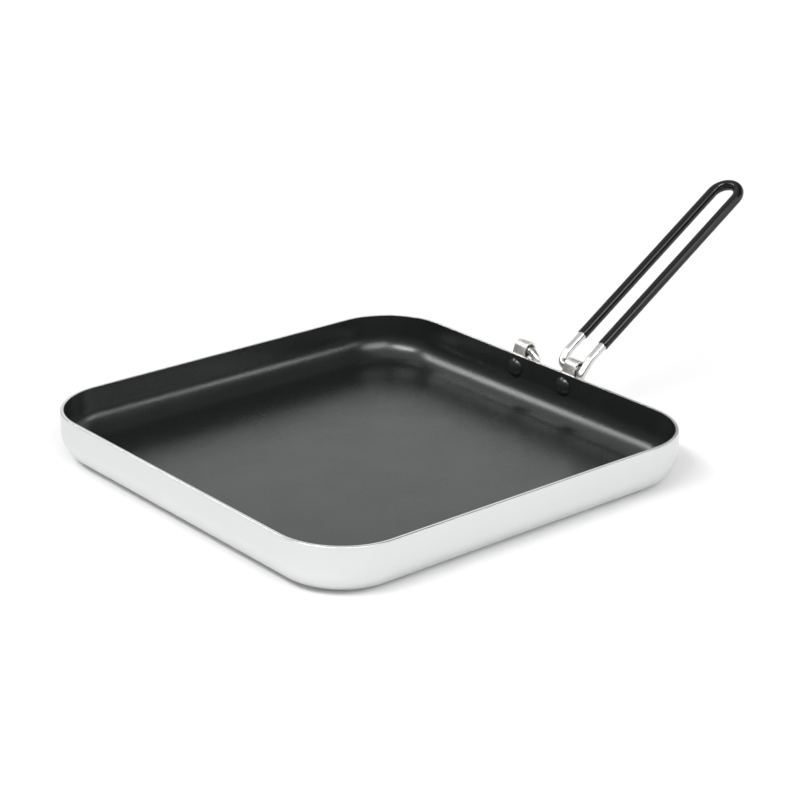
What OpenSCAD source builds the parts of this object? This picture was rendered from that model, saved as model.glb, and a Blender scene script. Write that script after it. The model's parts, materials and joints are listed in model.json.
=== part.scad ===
// Square frying pan with a fold-over wire handle.
// Millimetres, +Z up. The origin is the centre of the pan's flat underside,
// and the handle is carried by the wall on the +Y side.

/* [Pan] */
// Outside width along the wall that carries the handle
pan_w = 254; // [200:1:320]
// Outside depth from the front wall to the handle wall
pan_d = 254; // [200:1:320]
// Height from the underside to the rim
pan_h = 28; // [24:0.5:45]
// Thickness of the pressed wall
wall_t = 1.8; // [1.5:0.1:3]
// Thickness of the pressed floor
floor_t = 2.6; // [1.5:0.1:5]
// Outside radius of the four upright corners
corner_r = 38.8; // [36:0.2:60]
// Outside radius where the walls turn into the floor
edge_r = 16.6; // [8:0.2:18]

/* [Lining] */
// Thickness of the non-stick layer
lining_t = 0.3; // [0.2:0.05:0.6]
// Bare metal left between the layer and the top of the rim
lining_drop = 0.1; // [0:0.1:1]

/* [Brackets] */
// Distance between the middles of the two brackets
bracket_spacing = 40; // [36:0.2:70]
// Width of the bent strap
strap_w = 8.8; // [8:0.2:12]
// Thickness of the bent strap
strap_t = 1.3; // [1:0.1:1.8]
// Radius of the eye that the wire turns in
eye_r = 3.1; // [3.05:0.05:4]
// Height of the eye's centre above the rim
eye_rise = 2.35; // [2:0.05:6]
// Gap between the ring round the eye and the plane of the wall
eye_stand = 1.05; // [0.5:0.05:2]
// Depth below the rim of the hollow between the eye and the leaning strap
hollow_drop = 1; // [0.8:0.1:1.5]
// How far the strap reaches down below the rim
strap_drop = 13.5; // [12.6:0.1:15]
// Radius of the hollow bend where the eye closes onto the strap
closing_r = 2.4; // [2:0.1:3]

/* [Rivets] */
// Depth of the rivets below the rim
rivet_drop = 7.9; // [7:0.1:9]
// Distance between the middles of the two rivets
rivet_spacing = 38.8; // [35:0.2:70]
// How far the pair of rivets sits from the middle of the wall, towards -X
rivet_shift = 0.6; // [0:0.1:1]
// Diameter of the head inside the pan
head_d = 11.2; // [8:0.2:12]
// Height of the head
head_h = 2.8; // [2:0.1:4]
// Radius of the head's round shoulder
shoulder_r = 1.7; // [0.8:0.1:1.9]
// Height of the head's domed crown above its edge
crown_h = 0.9; // [0.4:0.1:1.6]
// Diameter of the shank
shank_d = 4.2; // [3.6:0.1:5]
// Diameter of the flattened tail outside the pan
tail_d = 6.4; // [5.8:0.1:8]
// Height of the flattened tail
tail_h = 1.4; // [1:0.1:2]
// Clearance round the shank in its holes
shank_gap = 0.1; // [0.05:0.05:0.2]

/* [Handle wire] */
// Diameter of the wire
wire_d = 4.8; // [4:0.1:5]
// How far the wire's axis hangs below the centre of the eye
pin_sag = 0.4; // [0.2:0.05:0.45]
// How far the wire's axis is pushed towards the wall from the centre of the eye
pin_lean = 0.55; // [0.3:0.05:0.6]
// Gap between the right leg and the side of the right bracket
leg_gap = 0.7; // [0.3:0.1:1.5]
// Distance between the centre lines of the two legs
leg_spacing = 17.8; // [17.4:0.1:19]
// Distance from the hinge axis to the bend that carries the grip
neck_len = 8; // [6.5:0.5:20]
// Slope of the neck above level, in degrees
neck_angle = 48; // [42:1:54]
// Slope of the grip above level, in degrees
grip_angle = 32.6; // [25:0.2:38]
// Distance from the neck's bend to the centre of the loop's round end
grip_len = 133.2; // [90:0.2:200]
// Radius of the neck's bend
neck_bend_r = 10; // [6:0.5:14]
// Radius of the elbow that enters the right bracket
pin_bend_r = 3.8; // [3.8:0.1:5]
// Radius of the bends in the hook behind the wall
hook_bend_r = 6; // [4.5:0.5:6.5]
// Radius of the bend that brings the right leg upright behind the wall
stop_bend_r = 5; // [4:0.5:6]
// Straight wire between the left bracket and the hook's first bend
hook_lead = 0.4; // [0.2:0.1:4]
// Gap between the wire and the wall that it rests against
stop_gap = 0.35; // [0.3:0.05:0.6]
// Gap between the hook's crossbar and the ends of the straps
crossbar_gap = 3.2; // [3:0.1:4.5]

/* [Grip sleeve] */
// Thickness of the sleeve
sleeve_t = 0.6; // [0.4:0.1:1.2]
// Distance from the neck's bend to the end of the sleeve on the right leg
right_sleeve_start = 11.1; // [6:0.1:30]
// Distance from the neck's bend to the end of the sleeve on the left leg
left_sleeve_start = 13.2; // [6:0.1:30]
// Clearance between the sleeve and the wire
sleeve_gap = 0.05; // [0.02:0.01:0.1]

/* [Hidden] */
$fn = 96;

// One length that every cut runs past the face it opens.
overrun = 1;
// Half the short gap between two lengths of bar, and the swell of the ring that closes it.
joint_gap = 0.1;
joint_swell = 0.02;

outer_y = pan_d / 2;
lined_y = outer_y - wall_t - lining_t;
bracket_x = bracket_spacing / 2;
rivet_x = rivet_spacing / 2;

// The eye's centre, out from the wall and up from the rim.
eye = [eye_stand + strap_t + eye_r, eye_rise];

wire_r = wire_d / 2;
hinge_y = outer_y + eye[0] - pin_lean;
hinge_z = pan_h + eye[1] - pin_sag;
strap_side_x = bracket_x + strap_w / 2;
right_leg_x = strap_side_x + leg_gap + wire_r;
left_leg_x = right_leg_x - leg_spacing;

// The hook: its upright wire and its crossbar lie against the outside of the wall.
stop_y = outer_y + stop_gap + wire_r;
crossbar_z = pan_h - strap_drop - crossbar_gap - wire_r;
hook_reach = norm([hinge_y - stop_y, hinge_z - crossbar_z]);
hook_tilt = atan2(hinge_y - stop_y, hinge_z - crossbar_z);

// Each bend starts and ends one tangent length from its corner.
neck_turn = neck_angle - grip_angle;
stop_turn = 90 - neck_angle;
neck_tangent = neck_bend_r * tan(neck_turn / 2);
stop_tangent = stop_bend_r * tan(stop_turn / 2);

// Where the right leg's neck, carried on past the hinge axis, meets the upright.
neck_past_hinge = (hinge_y - stop_y) / cos(neck_angle);
stop_corner_z = hinge_z - neck_past_hinge * sin(neck_angle);

neck_corner_y = hinge_y + neck_len * cos(neck_angle);
neck_corner_z = hinge_z + neck_len * sin(neck_angle);

// Section through one side of the pan, from the corner's centre outwards.
module edge_section(plan_r, fillet_r, height) {
    intersection() {
        square([plan_r, height]);
        union() {
            square([plan_r - fillet_r, height]);
            translate([0, fillet_r]) square([plan_r, height - fillet_r]);
            translate([plan_r - fillet_r, fillet_r]) circle(r = fillet_r);
        }
    }
}

// Square block with round corners and a round bottom edge, its base at base_z.
module pan_block(width, depth, height, plan_r, fillet_r, base_z) {
    half_x = width / 2 - plan_r;
    half_y = depth / 2 - plan_r;
    translate([0, 0, base_z]) {
        translate([-half_x, -half_y, 0]) cube([2 * half_x, 2 * half_y, height]);
        for (side = [0, 1]) {
            mirror([side, 0, 0]) translate([half_x, 0, 0]) rotate([90, 0, 0])
                linear_extrude(2 * half_y, center = true) edge_section(plan_r, fillet_r, height);
            mirror([0, side, 0]) translate([0, half_y, 0]) rotate([90, 0, 90])
                linear_extrude(2 * half_x, center = true) edge_section(plan_r, fillet_r, height);
            for (end = [0, 1])
                mirror([side, 0, 0]) mirror([0, end, 0]) translate([half_x, half_y, 0])
                    rotate_extrude(angle = 90) edge_section(plan_r, fillet_r, height);
        }
    }
}

// The space inside the pan at a distance from the outer wall and above the underside.
module well(inset, bottom, top) {
    pan_block(pan_w - 2 * inset, pan_d - 2 * inset, top - bottom,
              corner_r - inset, edge_r - inset, bottom);
}

// Holes for both rivets, through everything that they hold together.
module rivet_holes() {
    for (side = [-1, 1])
        translate([side * rivet_x - rivet_shift, lined_y - overrun, pan_h - rivet_drop])
            rotate([-90, 0, 0])
                cylinder(r = shank_d / 2 + shank_gap,
                         h = wall_t + lining_t + 2 * strap_t + 2 * overrun);
}

module pan_body() {
    color("gainsboro") difference() {
        pan_block(pan_w, pan_d, pan_h, corner_r, edge_r, 0);
        well(wall_t, floor_t, pan_h + overrun);
        rivet_holes();
    }
}

module nonstick_lining() {
    color([0.13, 0.13, 0.14]) difference() {
        well(wall_t, floor_t, pan_h - lining_drop);
        well(wall_t + lining_t, floor_t + lining_t, pan_h + overrun);
        rivet_holes();
    }
}

// Side view of the strap: out from the wall along X, up from the rim along Y. From the rim
// it leans outwards to the ring round the eye, and comes back down to close flat on itself.
module strap_section() {
    ring_r = eye_r + strap_t;
    lean = atan2(eye[0], eye[1]) - asin(ring_r / norm(eye));
    to_face = [-cos(lean), sin(lean)];
    inner_corner = [strap_t, -strap_t * tan(lean / 2)];

    hollow = [strap_t, -hollow_drop];
    from_hollow = eye - hollow;
    hollow_slope = atan2(from_hollow[1], from_hollow[0]) - asin(eye_r / norm(from_hollow));

    closing_y = 2 * strap_t + closing_r;
    closing_z = eye[1] - sqrt(pow(ring_r + closing_r, 2) - pow(closing_y - eye[0], 2));

    difference() {
        union() {
            translate([0, -strap_drop]) square([2 * strap_t, strap_drop + closing_z]);
            translate(eye) circle(r = ring_r);
            difference() {
                polygon([[0, closing_z], [closing_y, closing_z], eye, eye + ring_r * to_face, [0, 0]]);
                translate([closing_y, closing_z]) circle(r = closing_r);
            }
        }
        translate(eye) circle(r = eye_r);
        polygon([hollow, inner_corner, eye + eye_r * to_face, eye,
                 eye + eye_r * [sin(hollow_slope), -cos(hollow_slope)]]);
    }
}

module bracket(centre_x) {
    color("silver") difference() {
        translate([centre_x, outer_y, pan_h]) rotate([90, 0, 90])
            linear_extrude(strap_w, center = true) strap_section();
        rivet_holes();
    }
}

module bracket_left() { bracket(-bracket_x); }

module bracket_right() { bracket(bracket_x); }

// Turns +Z outwards through the wall, at the place where a rivet meets the lining.
module at_rivet(centre_x) {
    translate([centre_x, lined_y, pan_h - rivet_drop]) rotate([-90, 0, 0]) children();
}

// Low head that sits down on the lining, shank through the wall, flattened tail outside.
module rivet(centre_x) {
    crown_r = (pow(head_d / 2, 2) + pow(crown_h, 2)) / (2 * crown_h);
    grip = wall_t + lining_t + 2 * strap_t;
    color([0.16, 0.16, 0.17]) {
        intersection() {
            at_rivet(centre_x) translate([0, 0, -head_h])
                rotate_extrude() edge_section(head_d / 2, shoulder_r, head_h);
            at_rivet(centre_x) translate([0, 0, crown_r - head_h]) sphere(r = crown_r);
            well(wall_t + lining_t, floor_t + lining_t, pan_h + overrun);
        }
        at_rivet(centre_x) cylinder(d = shank_d, h = grip);
        at_rivet(centre_x) translate([0, 0, grip]) cylinder(d = tail_d, h = tail_h);
    }
}

module rivet_left() { rivet(-rivet_x - rivet_shift); }

module rivet_right() { rivet(rivet_x - rivet_shift); }

// A straight length of round bar along +Z. What follows starts at its far end.
module run(bar_r, length) {
    translate([0, 0, joint_gap]) cylinder(r = bar_r, h = length - 2 * joint_gap);
    translate([0, 0, length]) children();
}

// A ring a hair wider than the bar, which joins a straight length to a bend.
module joint_ring(bar_r) {
    translate([0, 0, -2 * joint_gap]) cylinder(r = bar_r + joint_swell, h = 4 * joint_gap);
}

// A bend of round bar that leaves +Z towards the direction "turn" about Z from +X.
// What follows starts at its far end, heading along the bent bar.
module bend(bar_r, bend_r, angle, turn) {
    joint_ring(bar_r);
    rotate([0, 0, turn]) {
        translate([bend_r, 0, 0]) rotate([90, 0, 180])
            rotate_extrude(angle = angle) translate([bend_r, 0]) circle(r = bar_r);
        translate([bend_r * (1 - cos(angle)), 0, bend_r * sin(angle)]) rotate([0, angle, 0]) {
            joint_ring(bar_r);
            children();
        }
    }
}

// One unbroken wire: pin in the left bracket, hook behind the wall, right leg,
// round end, left leg, and pin in the right bracket.
module handle_wire() {
    left_pin = strap_w + hook_lead;
    hook_x = left_pin + hook_bend_r - strap_side_x;
    hook_fall = hook_reach - 2 * hook_bend_r;
    crossbar = right_leg_x - hook_x - 2 * hook_bend_r;
    upright = stop_corner_z - stop_tangent - crossbar_z - hook_bend_r;
    right_neck = neck_len + neck_past_hinge - stop_tangent - neck_tangent;
    left_neck = neck_len - neck_tangent - pin_bend_r;
    leg = grip_len - neck_tangent;
    right_pin = strap_side_x - left_leg_x - pin_bend_r;

    color("lightgray")
        translate([-strap_side_x, hinge_y, hinge_z]) rotate([0, 90, 0])
            run(wire_r, left_pin) bend(wire_r, hook_bend_r, 90, -hook_tilt)
            run(wire_r, hook_fall) bend(wire_r, hook_bend_r, 90, 180)
            run(wire_r, crossbar) bend(wire_r, hook_bend_r, 90, hook_tilt)
            run(wire_r, upright) bend(wire_r, stop_bend_r, stop_turn, -90)
            run(wire_r, right_neck) bend(wire_r, neck_bend_r, neck_turn, 0)
            run(wire_r, leg) bend(wire_r, leg_spacing / 2, 180, 90)
            run(wire_r, leg) bend(wire_r, neck_bend_r, neck_turn, -90)
            run(wire_r, left_neck) bend(wire_r, pin_bend_r, 90, 90)
            run(wire_r, right_pin);
}

// The loop from one end of the sleeve to the other, as a bar of the given radius.
// Each end of the bar runs past the sleeve's by the given length.
module grip_bar(bar_r, past_end) {
    right_start = right_sleeve_start - past_end;
    left_start = left_sleeve_start - past_end;
    translate([right_leg_x, neck_corner_y, neck_corner_z]) rotate([grip_angle - 90, 0, 0])
        translate([0, 0, right_start])
            run(bar_r, grip_len - right_start) bend(bar_r, leg_spacing / 2, 180, 180)
            run(bar_r, grip_len - left_start);
}

module grip_sleeve() {
    color([0.11, 0.11, 0.12]) difference() {
        grip_bar(wire_r + sleeve_gap + sleeve_t, 0);
        grip_bar(wire_r + sleeve_gap, overrun);
    }
}

pan_body();
nonstick_lining();
bracket_left();
bracket_right();
rivet_left();
rivet_right();
handle_wire();
grip_sleeve();
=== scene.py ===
# %% [markdown]
# # A square frying pan with a fold-over wire handle
# The real pan is one pressed sheet of aluminium with a non-stick layer inside. Two bent steel
# straps are riveted to one wall, and one long polished wire, with a vinyl sleeve over its loop,
# turns in their eyes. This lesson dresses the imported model: every piece is a mesh made here, at
# the place the model gives it, and each carries a material worked out from a real finish.

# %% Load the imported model, which fixes every place and size
import json
import math

import bpy
from mathutils import Matrix, Vector


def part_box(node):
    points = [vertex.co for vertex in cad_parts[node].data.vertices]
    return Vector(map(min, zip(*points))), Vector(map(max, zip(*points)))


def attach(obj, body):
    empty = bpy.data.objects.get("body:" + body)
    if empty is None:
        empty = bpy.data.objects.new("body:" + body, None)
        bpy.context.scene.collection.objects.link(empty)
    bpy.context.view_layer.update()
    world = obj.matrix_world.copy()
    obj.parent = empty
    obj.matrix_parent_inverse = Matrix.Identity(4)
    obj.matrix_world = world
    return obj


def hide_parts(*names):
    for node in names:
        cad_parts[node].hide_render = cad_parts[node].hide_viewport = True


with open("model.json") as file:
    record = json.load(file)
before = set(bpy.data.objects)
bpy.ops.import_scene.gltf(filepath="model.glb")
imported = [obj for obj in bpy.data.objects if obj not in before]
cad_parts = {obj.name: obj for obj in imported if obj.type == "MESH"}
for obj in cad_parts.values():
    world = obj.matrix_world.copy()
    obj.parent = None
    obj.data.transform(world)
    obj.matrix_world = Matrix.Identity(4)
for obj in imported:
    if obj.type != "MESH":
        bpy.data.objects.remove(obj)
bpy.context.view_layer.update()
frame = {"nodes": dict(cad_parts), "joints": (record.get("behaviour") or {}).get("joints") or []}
MM = 0.001
print("nodes:", ", ".join(sorted(frame["nodes"])))

# %% [markdown]
# ## Camera
# A product photograph is taken from some way off with a long lens, so that the far side of the
# pan is hardly smaller than the near side. The view is from the near corner, 21 degrees above the
# table. The camera comes first, because every later choice is checked through it.

# %% Put the camera where the photograph was taken
AZIMUTH = math.radians(49.54)
ELEVATION = math.radians(21.37)
ROLL = math.radians(0.62)
DISTANCE = 1203.3 * MM
TARGET = Vector((-6.35, 27.86, 28.25)) * MM
LENS = 100.94
SENSOR = 36.0

away = Vector((math.sin(AZIMUTH) * math.cos(ELEVATION),
               -math.cos(AZIMUTH) * math.cos(ELEVATION),
               math.sin(ELEVATION)))
level = Vector((math.cos(AZIMUTH), math.sin(AZIMUTH), 0))
upright = away.cross(level)
turn = Matrix.Rotation(ROLL, 3, away)

camera_data = bpy.data.cameras.new("camera")
camera_data.lens = LENS
camera_data.sensor_width = SENSOR
camera = bpy.data.objects.new("camera", camera_data)
bpy.context.scene.collection.objects.link(camera)
columns = Matrix((turn @ level, turn @ upright, away)).transposed()
camera.matrix_world = Matrix.Translation(TARGET + away * DISTANCE) @ columns.to_4x4()
bpy.context.scene.camera = camera
bpy.context.scene.view_settings.view_transform = "Standard"
print("camera at", [round(value / MM) for value in camera.location], "mm")

# %% [markdown]
# ## Sizes
# These are the sizes that the model was built to, in millimetres. The pan's own box gives the
# outside of the pan, so only what a box can't say is written down: thicknesses and radii.

# %% Name the sizes that the pieces share
pan_lo, pan_hi = [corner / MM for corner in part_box("pan_body")]
PAN_SIDE = pan_hi.x - pan_lo.x
RIM_Z = pan_hi.z
WALL_Y = pan_hi.y
WALL_T = 1.8
FLOOR_T = 2.6
LINING_T = 0.3
CORNER_R = 38.8
EDGE_R = 16.6
WIRE_R = 2.4
hinge = Vector(frame["joints"][0]["pos_m"]) / MM
print(f"side {PAN_SIDE:.1f}, rim {RIM_Z:.1f}, hinge y {hinge.y:.2f}, z {hinge.z:.2f} mm")


# %% [markdown]
# ## Making a mesh from rings
# Nearly everything here is a section carried along a path: the wall round the pan, the strap
# round its eye, the wire along its bends. Each is a stack of rings with the same number of points,
# joined ring to ring with four-sided faces. A long, even face shades smoothly, and the mesh needs
# no boolean cuts, which would leave slivers. The distance along and round the section go into a
# UV map, so that a grain can follow the bends.

# %% Join rings into one closed mesh
def mesh_from_rings(name, rings, ring_uv=None, capped=True, closed=False):
    points = [tuple(Vector(point) * MM) for ring in rings for point in ring]
    count = len(rings[0])
    last = len(rings) if closed else len(rings) - 1
    faces = []
    corners_uv = []
    for step in range(last):
        following = (step + 1) % len(rings)
        for i in range(count):
            j = (i + 1) % count
            faces.append((step * count + i, step * count + j,
                          following * count + j, following * count + i))
            if ring_uv:
                far_step = step + 1
                corners_uv += [ring_uv(step, i), ring_uv(step, i + 1),
                               ring_uv(far_step, i + 1), ring_uv(far_step, i)]
    sides = len(faces)
    if capped and not closed:
        faces.append(tuple(reversed(range(count))))
        faces.append(tuple((len(rings) - 1) * count + i for i in range(count)))
    mesh = bpy.data.meshes.new(name)
    mesh.from_pydata(points, [], faces)
    if ring_uv:
        layer = mesh.uv_layers.new(name="along")
        for loop, uv in enumerate(corners_uv):
            layer.data[loop].uv = uv
    for face in mesh.polygons:
        face.use_smooth = face.index < sides
    mesh.validate()
    mesh.update()
    piece = bpy.data.objects.new(name, mesh)
    bpy.context.scene.collection.objects.link(piece)
    print(f"{name}: {len(mesh.vertices)} points, {len(mesh.polygons)} faces")
    return piece


def arc(centre, radius, start, end, steps):
    """Points of an arc in a plane, from one angle to another, in degrees."""
    angles = [math.radians(start + (end - start) * k / steps) for k in range(steps + 1)]
    return [(centre[0] + radius * math.cos(a), centre[1] + radius * math.sin(a)) for a in angles]


# %% [markdown]
# ## The pan
# The pan was pressed from a round-cornered blank, so its corners and its bottom edge are both
# round, and the bottom edge turns as the wall does. Its section is carried round the square: a
# ring for each point of the section, set in from the outside by the point's distance. The rim is
# the cut edge of the sheet, trimmed flat and its outer corner eased, so it shows as a thin band
# between the black inside and the white wall.

# %% Draw one ring of the pan, set in from the outer wall
CORNER_STEPS = 24
SIDE_STEPS = 10


def pan_ring(inset, height):
    """A square with round corners, its points spaced alike whatever the inset."""
    radius = CORNER_R - inset
    middle = PAN_SIDE / 2 - CORNER_R
    ring = []
    for quarter in range(4):
        spin = Matrix.Rotation(math.radians(90 * quarter), 2)
        for x, y in arc((middle, middle), radius, 0, 90, CORNER_STEPS):
            ring.append((spin @ Vector((x, y)), height))
        for k in range(1, SIDE_STEPS):
            along = middle - 2 * middle * k / SIDE_STEPS
            ring.append((spin @ Vector((along, middle + radius)), height))
    return [(flat.x, flat.y, z) for flat, z in ring]


# %% Draw the sheet's section and carry it round
RIM_OUTER_R = 0.5
RIM_INNER_R = 0.1
FILLET_STEPS = 14
RIM_OUTER_STEPS = 6
RIM_INNER_STEPS = 3
inner_r = EDGE_R - WALL_T

sheet_section = (
    arc((EDGE_R, EDGE_R), EDGE_R, 270, 180, FILLET_STEPS)
    + arc((RIM_OUTER_R, RIM_Z - RIM_OUTER_R), RIM_OUTER_R, 180, 90, RIM_OUTER_STEPS)
    + arc((WALL_T - RIM_INNER_R, RIM_Z - RIM_INNER_R), RIM_INNER_R, 90, 0, RIM_INNER_STEPS)
    + arc((EDGE_R, FLOOR_T + inner_r), inner_r, 180, 270, FILLET_STEPS)
)
pan_sheet = mesh_from_rings("pan_sheet", [pan_ring(inset, z) for inset, z in sheet_section])
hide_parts("pan_body")
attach(pan_sheet, "pan")

# %% [markdown]
# ## The non-stick layer
# Such a layer is sprayed on and baked, so it follows the sheet everywhere inside and stops a hair
# below the rim. It could be a second colour on the sheet. Here it is its own closed skin with a
# thickness, as in the model, so that its edge is a real one. It is drawn thicker than a real one.

# %% Spray the layer onto the inside of the sheet
LINING_DROP = 0.1
LAYER_EDGE_STEPS = 6
lined_r = inner_r - LINING_T
lined_floor = FLOOR_T + LINING_T
layer_top = RIM_Z - LINING_DROP

layer_section = (
    arc((EDGE_R, FLOOR_T + inner_r), inner_r, 270, 180, FILLET_STEPS)
    + [(WALL_T, layer_top - LINING_T / 2)]
    + arc((WALL_T + LINING_T / 2, layer_top - LINING_T / 2), LINING_T / 2, 180, 0, LAYER_EDGE_STEPS)[1:]
    + arc((EDGE_R, lined_floor + lined_r), lined_r, 180, 270, FILLET_STEPS)
)
sprayed_layer = mesh_from_rings("sprayed_layer", [pan_ring(inset, z) for inset, z in layer_section])
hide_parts("nonstick_lining")
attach(sprayed_layer, "pan")


# %% [markdown]
# ## Carrying a section along a path
# A strap and a wire are both bar stock bent on a jig: straight lengths joined by arcs. So a path
# is written as its corners, each with the radius of its bend, and one function rounds them. The
# section keeps its own up direction as it goes, turned only as much as the path turns, so it never
# twists.

# %% Round the corners of a path and sweep a section along it
END_STEPS = 3
PATH_STEP = 2.0
BEND_STEPS = 14
ROUND_SIDES = 32


def rounded_path(corners, bend_steps=BEND_STEPS):
    """Points along straight runs and arcs. Each corner is (place, bend radius)."""
    path = [Vector(corners[0][0])]
    for index in range(1, len(corners)):
        place, radius = Vector(corners[index][0]), corners[index][1]
        before = (place - Vector(corners[index - 1][0])).normalized()
        if index == len(corners) - 1:
            tangent = 0
        else:
            after = (Vector(corners[index + 1][0]) - place).normalized()
            bend = before.angle(after)
            tangent = radius * math.tan(bend / 2)
        run_end = place - before * tangent
        run_start = path[-1]
        pieces = max(1, round((run_end - run_start).length / PATH_STEP))
        path += [run_start.lerp(run_end, k / pieces) for k in range(1, pieces + 1)]
        if tangent:
            axis = before.cross(after).normalized()
            inward = axis.cross(before)
            centre = run_end + inward * radius
            for k in range(1, bend_steps + 1):
                spin = Matrix.Rotation(bend * k / bend_steps, 3, axis)
                path.append(centre + spin @ (run_end - centre))
    return path


def path_frames(path, first_side):
    """For each point of a path: the point, its forward direction and its side direction."""
    frames = []
    side = Vector(first_side)
    for index, point in enumerate(path):
        before = path[max(index - 1, 0)]
        after = path[min(index + 1, len(path) - 1)]
        forward = (after - before).normalized()
        side = (side - forward * side.dot(forward)).normalized()
        frames.append((point, forward, side))
    return frames


def sweep(name, frames, section, end_round=0.0):
    """Carries a closed section, given as (side, up) pairs, along a path. Its ends are eased."""
    eased = []
    for k in range(END_STEPS):
        angle = math.radians(90 * k / END_STEPS)
        eased.append((end_round * (1 - math.sin(angle)), end_round * (1 - math.cos(angle))))
    places = [(frames[0], shrink, forth) for shrink, forth in eased]
    places.append((frames[0], 0, end_round))
    places += [(place, 0, 0) for place in frames[1:-1]]
    places.append((frames[-1], 0, -end_round))
    places += [(frames[-1], shrink, -forth) for shrink, forth in reversed(eased)]
    rings = []
    lengths = [0]
    for (point, forward, side), shrink, forth in places:
        up = forward.cross(side)
        centre = point + forward * forth
        if rings:
            lengths.append(lengths[-1] + (centre - last_centre).length)
        last_centre = centre
        ring = []
        for a, b in section:
            size = math.hypot(a, b)
            scale = (size - shrink) / size
            ring.append(centre + side * a * scale + up * b * scale)
        rings.append(ring)
    around = [0]
    for (a, b), (next_a, next_b) in zip(section, section[1:] + section[:1]):
        around.append(around[-1] + math.hypot(next_a - a, next_b - b))
    return mesh_from_rings(name, rings, ring_uv=lambda step, i: (around[i] * MM, lengths[step] * MM))


def circle_section(radius):
    angles = [2 * math.pi * k / ROUND_SIDES for k in range(ROUND_SIDES)]
    return [(radius * math.cos(a), radius * math.sin(a)) for a in angles]


# %% [markdown]
# ## The straps
# Each bracket is a short strip of steel, bent round the wire into an eye and closed flat on
# itself, so below the eye it is two layers thick and a wedge of shadow shows where the layers
# part. It could be cut from a solid block, but a strip bent along its real path gets that wedge,
# the seam between its layers and its softened edges without any extra work.

# %% Bend one strip round its eye
STRAP_W = 8.8
STRAP_T = 1.3
EYE_R = 3.1
EYE_RISE = 2.35
EYE_STAND = 1.05
STRAP_DROP = 13.5
CLOSING_R = 2.4
RIM_BEND_R = 1.5
STRAP_EDGE_R = 0.28
STRAP_END_R = 0.12
SEAM = 0.03
EYE_STEPS = 44
CLOSING_STEPS = 16
SMALL_BEND_STEPS = 4
WALL_PLACES = [-STRAP_DROP + k * PATH_STEP for k in range(7)]
OUTER_PLACES = [-6.5, -8.5, -10.5, -12.0, -STRAP_DROP]

eye = Vector((EYE_STAND + STRAP_T + EYE_R, EYE_RISE))
ring_r = EYE_R + STRAP_T
lean = math.atan2(eye.x, eye.y) - math.asin(ring_r / eye.length)
closing_out = 2 * STRAP_T + CLOSING_R
closing_fall = math.sqrt((ring_r + CLOSING_R) ** 2 - (closing_out - eye.x) ** 2)
closing = Vector((closing_out, eye.y - closing_fall))
throat = math.degrees(math.atan2(closing.y - eye.y, closing.x - eye.x))
print(f"strap leans {math.degrees(lean):.1f} degrees and closes {-closing.y:.1f} mm below the rim")


def strap_path():
    """The strip's middle line, seen from the side: out from the wall, up from the rim."""
    against_wall = [(STRAP_T / 2, z) for z in WALL_PLACES]
    rim_bend_z = -(STRAP_T / 2 + RIM_BEND_R) * math.tan(lean / 2)
    leaning = 180 - math.degrees(lean)
    over_rim = arc((STRAP_T / 2 + RIM_BEND_R, rim_bend_z), RIM_BEND_R, 180, leaning, SMALL_BEND_STEPS)
    eye_turn = arc(eye, EYE_R + STRAP_T / 2, leaning, throat, EYE_STEPS)
    closing_turn = arc(closing, CLOSING_R + STRAP_T / 2 - SEAM, throat + 180, 180, CLOSING_STEPS)
    outer_layer = [(1.5 * STRAP_T + SEAM, z) for z in OUTER_PLACES]
    return against_wall + over_rim + eye_turn + closing_turn[1:] + outer_layer


def strap_section():
    """A flat bar with softened edges, as (across the width, through the thickness)."""
    flat_w = STRAP_W / 2 - STRAP_EDGE_R
    flat_t = STRAP_T / 2 - STRAP_EDGE_R
    section = []
    for quarter, (a, b) in enumerate([(1, 1), (-1, 1), (-1, -1), (1, -1)]):
        corner = (a * flat_w, b * flat_t)
        section += arc(corner, STRAP_EDGE_R, 90 * quarter, 90 * quarter + 90, SMALL_BEND_STEPS)
    return section


def bend_strap(name, node, x):
    path = [Vector((x, WALL_Y + out, RIM_Z + up)) for out, up in strap_path()]
    strap = sweep(name, path_frames(path, (1, 0, 0)), strap_section(), end_round=STRAP_END_R)
    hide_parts(node)
    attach(strap, "pan")
    return strap


straps = []
for side_name in ("left", "right"):
    strap_lo, strap_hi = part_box(f"bracket_{side_name}")
    strap_x = (strap_lo.x + strap_hi.x) / 2 / MM
    straps.append(bend_strap(f"strap_{side_name}", f"bracket_{side_name}", strap_x))


# %% [markdown]
# ## The rivets
# A rivet is one slug of soft metal. Its low domed head is black like the rest of the inside, and
# its other end, which the photograph hides, is hammered flat over the strap. Both are turned
# shapes, so each rivet is a profile spun round its own axis. The dome is drawn as a slice of a
# ball, a little simpler than the model's head, and it meets the wall at a slant, where a shadow
# gathers.

# %% Turn one rivet from its profile
HEAD_R = 5.6
HEAD_H = 2.8
HEAD_LIP = 0.25
HEAD_EASE = 0.05
DOME_STEPS = 24
RIVET_SIDES = 40
SHANK_R = 2.1
TAIL_R = 3.2
TAIL_H = 1.4
TAIL_OUTLINE = [(0, 0.3), (0.35, 0), (0.8, 0.15), (TAIL_H - 0.1, 1.0), (TAIL_H, 2.0)]
GRIP = WALL_T + LINING_T + 2 * STRAP_T


def rivet_profile():
    """From the crown of the head to the middle of the tail, as (distance along, radius)."""
    rise = HEAD_H - HEAD_LIP
    dome_r = (HEAD_R ** 2 + rise ** 2) / (2 * rise)
    edge = math.degrees(math.asin(HEAD_R / dome_r))
    dome = arc((dome_r - HEAD_H, 0), dome_r, 180 - edge / DOME_STEPS, 180 - edge, DOME_STEPS - 1)
    seat = [(-HEAD_LIP / 2, HEAD_R), (0, HEAD_R - HEAD_EASE), (0, SHANK_R)]
    tail = [(GRIP, SHANK_R)] + [(GRIP + out, TAIL_R - inset) for out, inset in TAIL_OUTLINE]
    return dome + seat + tail


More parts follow.
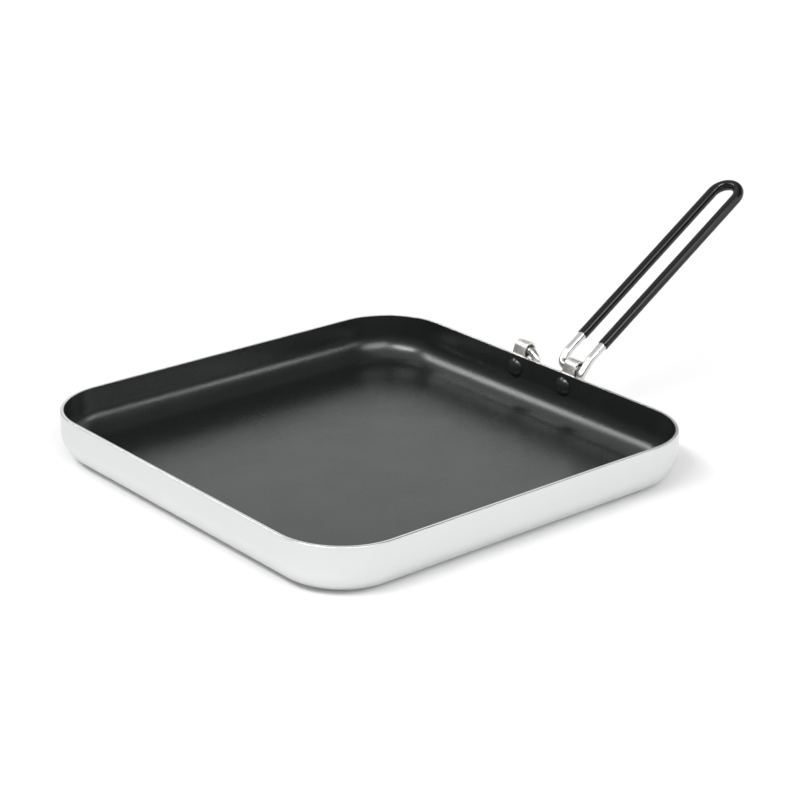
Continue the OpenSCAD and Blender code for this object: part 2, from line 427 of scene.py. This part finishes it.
def turn_rivet(name, node):
    rivet_lo, rivet_hi = [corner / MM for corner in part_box(node)]
    middle_x = (rivet_lo.x + rivet_hi.x) / 2
    middle_z = rivet_hi.z - HEAD_R
    seat_y = WALL_Y - WALL_T - LINING_T
    rings = [[(middle_x + radius * math.cos(a), seat_y + along, middle_z - radius * math.sin(a))
              for a in (2 * math.pi * k / RIVET_SIDES for k in range(RIVET_SIDES))]
             for along, radius in rivet_profile()]
    rivet = mesh_from_rings(name, rings)
    for face in rivet.data.polygons:
        face.use_smooth = True
    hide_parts(node)
    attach(rivet, "pan")
    return rivet


rivets = [turn_rivet("rivet_turned_left", "rivet_left"),
          turn_rivet("rivet_turned_right", "rivet_right")]

# %% [markdown]
# ## The wire
# The handle is one wire without a joint. It starts as a pin in the left strap, drops behind the
# wall as a hook, runs along the wall, comes up as the right leg, goes round the loop and ends as a
# pin in the right strap. The hook stops the handle: it comes to the wall when the handle is out.
# What runs behind the wall can't be seen in the photograph, so it is a guess. The corners below
# are where its straight runs would meet.

# %% Bend the wire through its corners
LEG_GAP = 0.7
LEG_SPACING = 17.8
HOOK_LEAD = 0.4
HOOK_BEND_R = 6.0
STOP_BEND_R = 5.0
PIN_BEND_R = 3.8
NECK_BEND_R = 10.0
NECK_LEN = 8.0
NECK_ANGLE = math.radians(48)
GRIP_ANGLE = math.radians(32.6)
GRIP_LEN = 133.2
STOP_GAP = 0.35
CROSSBAR_GAP = 3.2
WIRE_END_R = 0.3

strap_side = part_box("bracket_right")[1].x / MM
right_leg = strap_side + LEG_GAP + WIRE_R
left_leg = right_leg - LEG_SPACING
hook_x = -strap_side + STRAP_W + HOOK_LEAD + HOOK_BEND_R
stop_y = WALL_Y + STOP_GAP + WIRE_R
crossbar_z = RIM_Z - STRAP_DROP - CROSSBAR_GAP - WIRE_R
stop_z = hinge.z - (hinge.y - stop_y) * math.tan(NECK_ANGLE)
neck_end = Vector((0, hinge.y + NECK_LEN * math.cos(NECK_ANGLE),
                   hinge.z + NECK_LEN * math.sin(NECK_ANGLE)))
along_grip = Vector((0, math.cos(GRIP_ANGLE), math.sin(GRIP_ANGLE)))
loop_r = LEG_SPACING / 2
loop_end = neck_end + along_grip * (GRIP_LEN + loop_r)


def at_x(x, place):
    return (x, place.y, place.z)


wire_corners = [
    ((-strap_side, hinge.y, hinge.z), 0),
    ((hook_x, hinge.y, hinge.z), HOOK_BEND_R),
    ((hook_x, stop_y, crossbar_z), HOOK_BEND_R),
    ((right_leg, stop_y, crossbar_z), HOOK_BEND_R),
    ((right_leg, stop_y, stop_z), STOP_BEND_R),
    (at_x(right_leg, neck_end), NECK_BEND_R),
    (at_x(right_leg, loop_end), loop_r),
    (at_x(left_leg, loop_end), loop_r),
    (at_x(left_leg, neck_end), NECK_BEND_R),
    ((left_leg, hinge.y, hinge.z), PIN_BEND_R),
    ((strap_side, hinge.y, hinge.z), 0),
]
wire_frames = path_frames(rounded_path(wire_corners), (0, 1, 0))
bent_wire = sweep("bent_wire", wire_frames, circle_section(WIRE_R), end_round=WIRE_END_R)
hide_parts("handle_wire")
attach(bent_wire, "handle")

# %% [markdown]
# ## The sleeve
# The grip is a length of black vinyl tube pushed over the loop. Its ends are cut square, so they
# show the tube's thickness. A solid bar would look the same from the front, but not from the ends,
# so its section goes out along the outside and back along the bore.

# %% Push the sleeve over the loop
SLEEVE_T = 0.6
SLEEVE_GAP = 0.05
RIGHT_START = 11.1
LEFT_START = 13.2
LIP_R = 0.2
LIP_STEPS = 4
LOOP_STEPS = 24

sleeve_corners = [
    (at_x(right_leg, neck_end + along_grip * RIGHT_START), 0),
    (at_x(right_leg, loop_end), loop_r),
    (at_x(left_leg, loop_end), loop_r),
    (at_x(left_leg, neck_end + along_grip * LEFT_START), 0),
]
sleeve_frames = path_frames(rounded_path(sleeve_corners, LOOP_STEPS), (0, 0, 1))
bore = WIRE_R + SLEEVE_GAP
skin = bore + SLEEVE_T


def sleeve_ring(place, radius, back=0.0):
    point, forward, side = place
    up = forward.cross(side)
    centre = point + forward * back
    angles = [2 * math.pi * k / ROUND_SIDES for k in range(ROUND_SIDES)]
    return [centre + side * radius * math.cos(a) + up * radius * math.sin(a) for a in angles]


inside_out = [sleeve_ring(place, bore) for place in reversed(sleeve_frames)]
lip = [math.radians(90 * k / LIP_STEPS) for k in range(LIP_STEPS + 1)]
lip_middle = skin - LIP_R
first_lip = [sleeve_ring(sleeve_frames[0], lip_middle + LIP_R * math.sin(a), LIP_R - LIP_R * math.cos(a))
             for a in lip]
last_lip = [sleeve_ring(sleeve_frames[-1], lip_middle + LIP_R * math.cos(a), -LIP_R + LIP_R * math.sin(a))
            for a in lip]
outside = [sleeve_ring(place, skin) for place in sleeve_frames[1:-1]]
sleeve_rings = first_lip + outside + last_lip + inside_out
grip_tube = mesh_from_rings(
    "grip_tube", sleeve_rings, closed=True,
    ring_uv=lambda step, i: (i / ROUND_SIDES * 2 * math.pi * skin * MM, step * PATH_STEP * MM))
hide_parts("grip_sleeve")
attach(grip_tube, "handle")


# %% [markdown]
# ## Building a material
# Every finish below is the same shader with different nodes in front of it, so two small helpers
# do the typing: one turns a colour as it is written for a screen into the linear numbers that the
# renderer mixes, and one adds a node with its settings and its links.

# %% Turn a screen colour into linear light
def from_hex(code):
    values = [int(code[i:i + 2], 16) / 255 for i in (1, 3, 5)]
    return [v / 12.92 if v <= 0.04045 else ((v + 0.055) / 1.055) ** 2.4 for v in values] + [1]


# %% Add one node with its settings and links
def add_node(tree, kind, settings=None, inputs=None):
    node = tree.nodes.new(kind)
    for name, value in (settings or {}).items():
        setattr(node, name, value)
    for name, value in (inputs or {}).items():
        if isinstance(value, bpy.types.NodeSocket):
            tree.links.new(value, node.inputs[name])
        else:
            node.inputs[name].default_value = value
    return node


def start_material(name, settings):
    """A material with one main shader, whose fixed numbers are set on its own sockets."""
    material = bpy.data.materials.new(name)
    material.use_nodes = True
    tree = material.node_tree
    shader = tree.nodes["Principled BSDF"]
    for socket, value in settings.items():
        shader.inputs[socket].default_value = value
    return material, tree, shader


def per_mm(size):
    """The noise scale that gives features of this size in millimetres."""
    return 1 / (size * MM)


# %% [markdown]
# ## Satin aluminium
# Pressed aluminium that looks etched and anodised clear: no polish lines, a soft white sheen, and
# a very fine tooth. It is a metal, so its colour is its reflection. What the eye reads is how
# blurred that reflection is, so slow clouds vary the roughness a little, and the tooth is a faint
# bump. The grain of such an etch is too fine for this picture, so it is drawn coarser, at 0.4 mm.
# The rim's flat top is drawn smoother, as a cut that was made last would leave it. Most of a
# noise's values lie between NOISE_LOW and NOISE_HIGH, so that range is spread over each roughness.

# %% Make the satin aluminium
NOISE_LOW = 0.3
NOISE_HIGH = 0.7
ETCH_GRAIN = 0.4
CLOUD_SIZE = 22.0
CUT_DEPTH = 0.12
CUT_ROUGHNESS = 0.14


def satin_aluminium():
    material, tree, shader = start_material("satin_anodised_aluminium", {
        "Base Color": from_hex("#D7D8D8"),
        "Metallic": 1.0,
    })
    place = add_node(tree, "ShaderNodeTexCoord").outputs["Object"]
    tooth = add_node(tree, "ShaderNodeTexNoise", {}, {
        "Vector": place, "Scale": per_mm(ETCH_GRAIN), "Detail": 2.0, "Roughness": 0.6})
    clouds = add_node(tree, "ShaderNodeTexNoise", {}, {
        "Vector": place, "Scale": per_mm(CLOUD_SIZE), "Detail": 3.0, "Roughness": 0.5})
    roughness = add_node(tree, "ShaderNodeMapRange", {}, {
        "Value": clouds.outputs["Fac"], "From Min": NOISE_LOW, "From Max": NOISE_HIGH,
        "To Min": 0.31, "To Max": 0.36})
    height = add_node(tree, "ShaderNodeSeparateXYZ", {}, {"Vector": place}).outputs["Z"]
    cut = add_node(tree, "ShaderNodeMapRange", {}, {
        "Value": height, "From Min": (RIM_Z - CUT_DEPTH) * MM, "From Max": RIM_Z * MM,
        "To Min": roughness.outputs["Result"], "To Max": CUT_ROUGHNESS})
    tree.links.new(cut.outputs["Result"], shader.inputs["Roughness"])
    bump = add_node(tree, "ShaderNodeBump", {}, {
        "Height": tooth.outputs["Fac"], "Strength": 0.06, "Distance": 0.05 * MM})
    tree.links.new(bump.outputs["Normal"], shader.inputs["Normal"])
    return material


pan_sheet.data.materials.append(satin_aluminium())
print("pan sheet dressed")

# %% [markdown]
# ## Non-stick coating
# A sprayed and baked fluoropolymer, as such pans usually have: nearly black, waxy rather than
# glossy, with a grain like very fine orange peel that breaks up every highlight. It is a plastic,
# so it has a dark colour and a reflection that grows towards grazing angles. That growth is why
# the floor of the pan looks grey here while the walls stay black. How coarse the real grain is
# can't be read from the photograph, so its 0.8 mm was picked.

# %% Make the non-stick coating
SPRAY_GRAIN = 0.8
COAT_CLOUDS = 30.0


def nonstick_coating():
    material, tree, shader = start_material("nonstick_fluoropolymer", {
        "Metallic": 0.0,
        "IOR": 1.6,
        "Specular Tint": from_hex("#F8FFFC"),
    })
    place = add_node(tree, "ShaderNodeTexCoord").outputs["Object"]
    grain = add_node(tree, "ShaderNodeTexNoise", {}, {
        "Vector": place, "Scale": per_mm(SPRAY_GRAIN), "Detail": 3.0, "Roughness": 0.65})
    clouds = add_node(tree, "ShaderNodeTexNoise", {}, {
        "Vector": place, "Scale": per_mm(COAT_CLOUDS), "Detail": 2.0, "Roughness": 0.5})
    colour = add_node(tree, "ShaderNodeMix", {"data_type": "RGBA"}, {
        "Factor": grain.outputs["Fac"], "A": from_hex("#121313"), "B": from_hex("#1B1C1C")})
    tree.links.new(colour.outputs["Result"], shader.inputs["Base Color"])
    roughness = add_node(tree, "ShaderNodeMapRange", {}, {
        "Value": clouds.outputs["Fac"], "From Min": NOISE_LOW, "From Max": NOISE_HIGH,
        "To Min": 0.25, "To Max": 0.29})
    tree.links.new(roughness.outputs["Result"], shader.inputs["Roughness"])
    bump = add_node(tree, "ShaderNodeBump", {}, {
        "Height": grain.outputs["Fac"], "Strength": 0.35, "Distance": 0.1 * MM})
    tree.links.new(bump.outputs["Normal"], shader.inputs["Normal"])
    return material


sprayed_layer.data.materials.append(nonstick_coating())
print("lining dressed")

# %% [markdown]
# ## Brushed strap steel
# Stainless strip with brush lines along its length. The lines follow the strip round its eye, so
# the grain is taken from the distance along and across the strip. Faint stains vary its tint.

# %% Make the brushed steel
BRUSH_LINE = 0.25
BRUSH_STRETCH = 14
STAIN_SIZE = 2.0


def brushed_steel():
    material, tree, shader = start_material("brushed_stainless_strip", {
        "Metallic": 1.0,
        "Anisotropic": 0.4,
    })
    along = add_node(tree, "ShaderNodeTexCoord").outputs["UV"]
    stretched = add_node(tree, "ShaderNodeMapping", {}, {
        "Vector": along, "Scale": (1, 1 / BRUSH_STRETCH, 1)})
    lines = add_node(tree, "ShaderNodeTexNoise", {}, {
        "Vector": stretched.outputs["Vector"], "Scale": per_mm(BRUSH_LINE), "Detail": 2.0})
    stains = add_node(tree, "ShaderNodeTexNoise", {}, {
        "Vector": along, "Scale": per_mm(STAIN_SIZE), "Detail": 4.0})
    mixed = add_node(tree, "ShaderNodeMath", {"operation": "ADD"}, {
        0: lines.outputs["Fac"], 1: stains.outputs["Fac"]})
    colour = add_node(tree, "ShaderNodeMapRange", {}, {
        "Value": mixed.outputs[0], "From Min": 0.7, "From Max": 1.3})
    tint = add_node(tree, "ShaderNodeMix", {"data_type": "RGBA"}, {
        "Factor": colour.outputs["Result"], "A": from_hex("#C8C6C2"), "B": from_hex("#F4F2EE")})
    tree.links.new(tint.outputs["Result"], shader.inputs["Base Color"])
    roughness = add_node(tree, "ShaderNodeMapRange", {}, {
        "Value": lines.outputs["Fac"], "From Min": NOISE_LOW, "From Max": NOISE_HIGH,
        "To Min": 0.36, "To Max": 0.50})
    tree.links.new(roughness.outputs["Result"], shader.inputs["Roughness"])
    bump = add_node(tree, "ShaderNodeBump", {}, {
        "Height": lines.outputs["Fac"], "Strength": 0.2, "Distance": 0.03 * MM})
    tree.links.new(bump.outputs["Normal"], shader.inputs["Normal"])
    return material


strap_steel = brushed_steel()
for strap in straps:
    strap.data.materials.append(strap_steel)
print("straps dressed")

# %% [markdown]
# ## Polished wire
# Cold-drawn stainless wire, finished bright. Drawing leaves hair-fine lines along it, so its
# roughness and a faint bump vary in long thin streaks.

# %% Make the polished wire
DRAW_LINE = 0.3
DRAW_STRETCH = 30


def polished_wire():
    material, tree, shader = start_material("drawn_stainless_wire", {
        "Base Color": from_hex("#D2D1CF"),
        "Metallic": 1.0,
    })
    along = add_node(tree, "ShaderNodeTexCoord").outputs["UV"]
    stretched = add_node(tree, "ShaderNodeMapping", {}, {
        "Vector": along, "Scale": (1, 1 / DRAW_STRETCH, 1)})
    lines = add_node(tree, "ShaderNodeTexNoise", {}, {
        "Vector": stretched.outputs["Vector"], "Scale": per_mm(DRAW_LINE), "Detail": 2.0})
    roughness = add_node(tree, "ShaderNodeMapRange", {}, {
        "Value": lines.outputs["Fac"], "From Min": NOISE_LOW, "From Max": NOISE_HIGH,
        "To Min": 0.22, "To Max": 0.30})
    tree.links.new(roughness.outputs["Result"], shader.inputs["Roughness"])
    bump = add_node(tree, "ShaderNodeBump", {}, {
        "Height": lines.outputs["Fac"], "Strength": 0.08, "Distance": 0.02 * MM})
    tree.links.new(bump.outputs["Normal"], shader.inputs["Normal"])
    return material


bent_wire.data.materials.append(polished_wire())
print("wire dressed")

# %% [markdown]
# ## Vinyl sleeve
# Extruded PVC tube: black, glossy, with faint lines along it from the die. PVC usually has an IOR
# of about 1.53. It is set lower here, to bring the sleeve's brightness nearer to the
# photograph's.

# %% Make the vinyl
DIE_LINE = 0.7
DIE_STRETCH = 25


def vinyl():
    material, tree, shader = start_material("black_vinyl_tube", {
        "Base Color": from_hex("#0C0C0D"),
        "IOR": 1.39,
    })
    along = add_node(tree, "ShaderNodeTexCoord").outputs["UV"]
    stretched = add_node(tree, "ShaderNodeMapping", {}, {
        "Vector": along, "Scale": (1, 1 / DIE_STRETCH, 1)})
    lines = add_node(tree, "ShaderNodeTexNoise", {}, {
        "Vector": stretched.outputs["Vector"], "Scale": per_mm(DIE_LINE), "Detail": 2.0})
    roughness = add_node(tree, "ShaderNodeMapRange", {}, {
        "Value": lines.outputs["Fac"], "From Min": NOISE_LOW, "From Max": NOISE_HIGH,
        "To Min": 0.10, "To Max": 0.16})
    tree.links.new(roughness.outputs["Result"], shader.inputs["Roughness"])
    bump = add_node(tree, "ShaderNodeBump", {}, {
        "Height": lines.outputs["Fac"], "Strength": 0.15, "Distance": 0.05 * MM})
    tree.links.new(bump.outputs["Normal"], shader.inputs["Normal"])
    return material


grip_tube.data.materials.append(vinyl())
print("sleeve dressed")

# %% [markdown]
# ## Rivet finishes
# The head looks coated like the pan, but smoother, so it has the same grain with a weaker bump. The
# tail outside is taken to be the rivet's own bare aluminium, dented by the hammer.

# %% Make the rivets' two finishes
DENT_SIZE = 1.2


def coated_head():
    material, tree, shader = start_material("coated_rivet_head", {
        "Base Color": from_hex("#1C1D1E"),
        "IOR": 1.5,
    })
    place = add_node(tree, "ShaderNodeTexCoord").outputs["Object"]
    grain = add_node(tree, "ShaderNodeTexNoise", {}, {
        "Vector": place, "Scale": per_mm(SPRAY_GRAIN), "Detail": 3.0})
    roughness = add_node(tree, "ShaderNodeMapRange", {}, {
        "Value": grain.outputs["Fac"], "From Min": NOISE_LOW, "From Max": NOISE_HIGH,
        "To Min": 0.20, "To Max": 0.26})
    tree.links.new(roughness.outputs["Result"], shader.inputs["Roughness"])
    bump = add_node(tree, "ShaderNodeBump", {}, {
        "Height": grain.outputs["Fac"], "Strength": 0.05, "Distance": 0.05 * MM})
    tree.links.new(bump.outputs["Normal"], shader.inputs["Normal"])
    return material


def bare_tail():
    material, tree, shader = start_material("hammered_aluminium_tail", {
        "Base Color": from_hex("#DADBDB"),
        "Metallic": 1.0,
    })
    place = add_node(tree, "ShaderNodeTexCoord").outputs["Object"]
    dents = add_node(tree, "ShaderNodeTexNoise", {}, {
        "Vector": place, "Scale": per_mm(DENT_SIZE), "Detail": 2.0})
    roughness = add_node(tree, "ShaderNodeMapRange", {}, {
        "Value": dents.outputs["Fac"], "From Min": NOISE_LOW, "From Max": NOISE_HIGH,
        "To Min": 0.28, "To Max": 0.45})
    tree.links.new(roughness.outputs["Result"], shader.inputs["Roughness"])
    bump = add_node(tree, "ShaderNodeBump", {}, {
        "Height": dents.outputs["Fac"], "Strength": 0.3, "Distance": 0.1 * MM})
    tree.links.new(bump.outputs["Normal"], shader.inputs["Normal"])
    return material


head_finish = coated_head()
tail_finish = bare_tail()
tail_start = (WALL_Y - WALL_T - LINING_T + GRIP / 2) * MM
for rivet in rivets:
    rivet.data.materials.append(head_finish)
    rivet.data.materials.append(tail_finish)
    for face in rivet.data.polygons:
        face.material_index = 1 if face.center.y > tail_start else 0
print("rivets dressed")

# %% [markdown]
# ## Table and light
# The photograph is a cut-out: a white table that runs into a white background, with only the
# contact shadow left. The table is a plain pale plane. A glow that only the camera and shiny
# surfaces see takes it to white. It is faint near the pan, so the shadow stays, and grows with
# distance, where the lamps reach less, and the pan is lit no harder for it.

# %% Lay the table
TABLE_SIZE = 20.0
TABLE_Z = -0.05 * MM
GLOW_NEAR = 0.06
GLOW_FAR = 1.0
GLOW_START = 0.3
GLOW_END = 2.8


def seen_directly(tree):
    """1 for rays that the camera, a shiny surface or a clear one sends out, and 0 for the rest."""
    rays = add_node(tree, "ShaderNodeLightPath")
    first = add_node(tree, "ShaderNodeMath", {"operation": "MAXIMUM"}, {
        0: rays.outputs["Is Camera Ray"], 1: rays.outputs["Is Glossy Ray"]})
    both = add_node(tree, "ShaderNodeMath", {"operation": "MAXIMUM"}, {
        0: first.outputs[0], 1: rays.outputs["Is Transmission Ray"]})
    return both.outputs[0]


def white_table():
    mesh = bpy.data.meshes.new("table")
    half = TABLE_SIZE / 2
    corners = [(x * half, y * half, TABLE_Z) for x, y in ((-1, -1), (1, -1), (1, 1), (-1, 1))]
    mesh.from_pydata(corners, [], [(0, 1, 2, 3)])
    table = bpy.data.objects.new("table", mesh)
    bpy.context.scene.collection.objects.link(table)
    material = bpy.data.materials.new("pale_table")
    material.use_nodes = True
    tree = material.node_tree
    tree.nodes.clear()
    place = add_node(tree, "ShaderNodeTexCoord").outputs["Object"]
    distance = add_node(tree, "ShaderNodeVectorMath", {"operation": "LENGTH"}, {0: place})
    level = add_node(tree, "ShaderNodeMapRange", {}, {
        "Value": distance.outputs["Value"], "From Min": GLOW_START, "From Max": GLOW_END,
        "To Min": GLOW_NEAR, "To Max": GLOW_FAR})
    strength = add_node(tree, "ShaderNodeMath", {"operation": "MULTIPLY"}, {
        0: seen_directly(tree), 1: level.outputs["Result"]})
    glow = add_node(tree, "ShaderNodeEmission", {}, {
        "Color": (1, 1, 1, 1), "Strength": strength.outputs[0]})
    paper = add_node(tree, "ShaderNodeBsdfDiffuse", {}, {"Color": from_hex("#E1E1E1")})
    both = add_node(tree, "ShaderNodeAddShader", {}, {0: paper.outputs[0], 1: glow.outputs[0]})
    add_node(tree, "ShaderNodeOutputMaterial", {}, {"Surface": both.outputs[0]})
    mesh.materials.append(material)
    return table


white_table()
print("table laid")

# %% [markdown]
# ## The studio
# A dark, smooth pan shows the room more than itself, so the room is built as well as the lamps.
# The pan's floor mirrors a bright backdrop behind the pan, which greys it. The far walls mirror
# the floor and, past it, a dim front, so they stay black. Above the backdrop the room is dark at
# the back and lighter towards the front. Matt surfaces get one even level instead, which fills the
# shadows. The soft lamps draw the bright lines along the round foot of the far walls: the left one
# in the foot of the back wall, the low one in that of the left wall, and the key and the right
# lamp in the corner between them.

# %% Build the room and hang the lamps
WORLD_DIFFUSE = 0.52
BACKDROP = 1.0
FRONT = 0.18
CEILING = 0.72
DARK_CEILING = 0.12
BACKDROP_MIDDLE = (-0.45, 0.89, 0)
DARK_MIDDLE = (0.1, 0.99, 0)
BACKDROP_TOP = math.sin(math.radians(28))
TOP_BLEND = 0.12
BACKDROP_EDGE = (0.25, 0.8)
DARK_EDGE = (0.1, 0.35)


def studio_world():
    world = bpy.data.worlds.new("studio")
    bpy.context.scene.world = world
    world.use_nodes = True
    tree = world.node_tree
    tree.nodes.clear()
    direction = add_node(tree, "ShaderNodeTexCoord").outputs["Generated"]
    height = add_node(tree, "ShaderNodeSeparateXYZ", {}, {"Vector": direction}).outputs["Z"]

    def level(value, start, end, low, high):
        blend = add_node(tree, "ShaderNodeMapRange", {"interpolation_type": "SMOOTHSTEP"}, {
            "Value": value, "From Min": start, "From Max": end, "To Min": low, "To Max": high})
        return blend.outputs["Result"]

    def towards(middle):
        return add_node(tree, "ShaderNodeVectorMath", {"operation": "DOT_PRODUCT"}, {
            0: direction, 1: middle}).outputs["Value"]

    low_part = level(towards(BACKDROP_MIDDLE), *BACKDROP_EDGE, FRONT, BACKDROP)
    high_part = level(towards(DARK_MIDDLE), *DARK_EDGE, CEILING, DARK_CEILING)
    above = level(height, BACKDROP_TOP, BACKDROP_TOP + TOP_BLEND, 0.0, 1.0)
    mirrored = add_node(tree, "ShaderNodeMapRange", {}, {
        "Value": above, "To Min": low_part, "To Max": high_part})
    strength = add_node(tree, "ShaderNodeMapRange", {}, {
        "Value": seen_directly(tree), "To Min": WORLD_DIFFUSE, "To Max": mirrored.outputs["Result"]})
    sky = add_node(tree, "ShaderNodeBackground", {}, {
        "Color": (1, 1, 1, 1), "Strength": strength.outputs["Result"]})
    add_node(tree, "ShaderNodeOutputWorld", {}, {"Surface": sky.outputs[0]})


def softbox(name, place, size, power):
    """A soft area lamp at a place in metres, facing the middle of the pan."""
    lamp = bpy.data.lights.new(name, "AREA")
    lamp.shape = "RECTANGLE"
    lamp.size, lamp.size_y = size
    lamp.energy = power
    holder = bpy.data.objects.new(name, lamp)
    bpy.context.scene.collection.objects.link(holder)
    holder.location = place
    holder.rotation_euler = (-Vector(place)).to_track_quat("-Z", "Y").to_euler()
    holder.visible_camera = False
    print(f"{name}: {power} W at {tuple(round(v, 2) for v in place)}")


studio_world()
softbox("key", (0.22, -1.43, 1.80), (1.5, 0.36), 34)
softbox("left", (-1.56, -0.73, 1.45), (1.0, 0.32), 9.5)
softbox("right", (1.60, -0.30, 1.54), (1.7, 0.9), 24)
softbox("low_back", (1.09, 0.92, 0.46), (0.8, 0.2), 3.1)
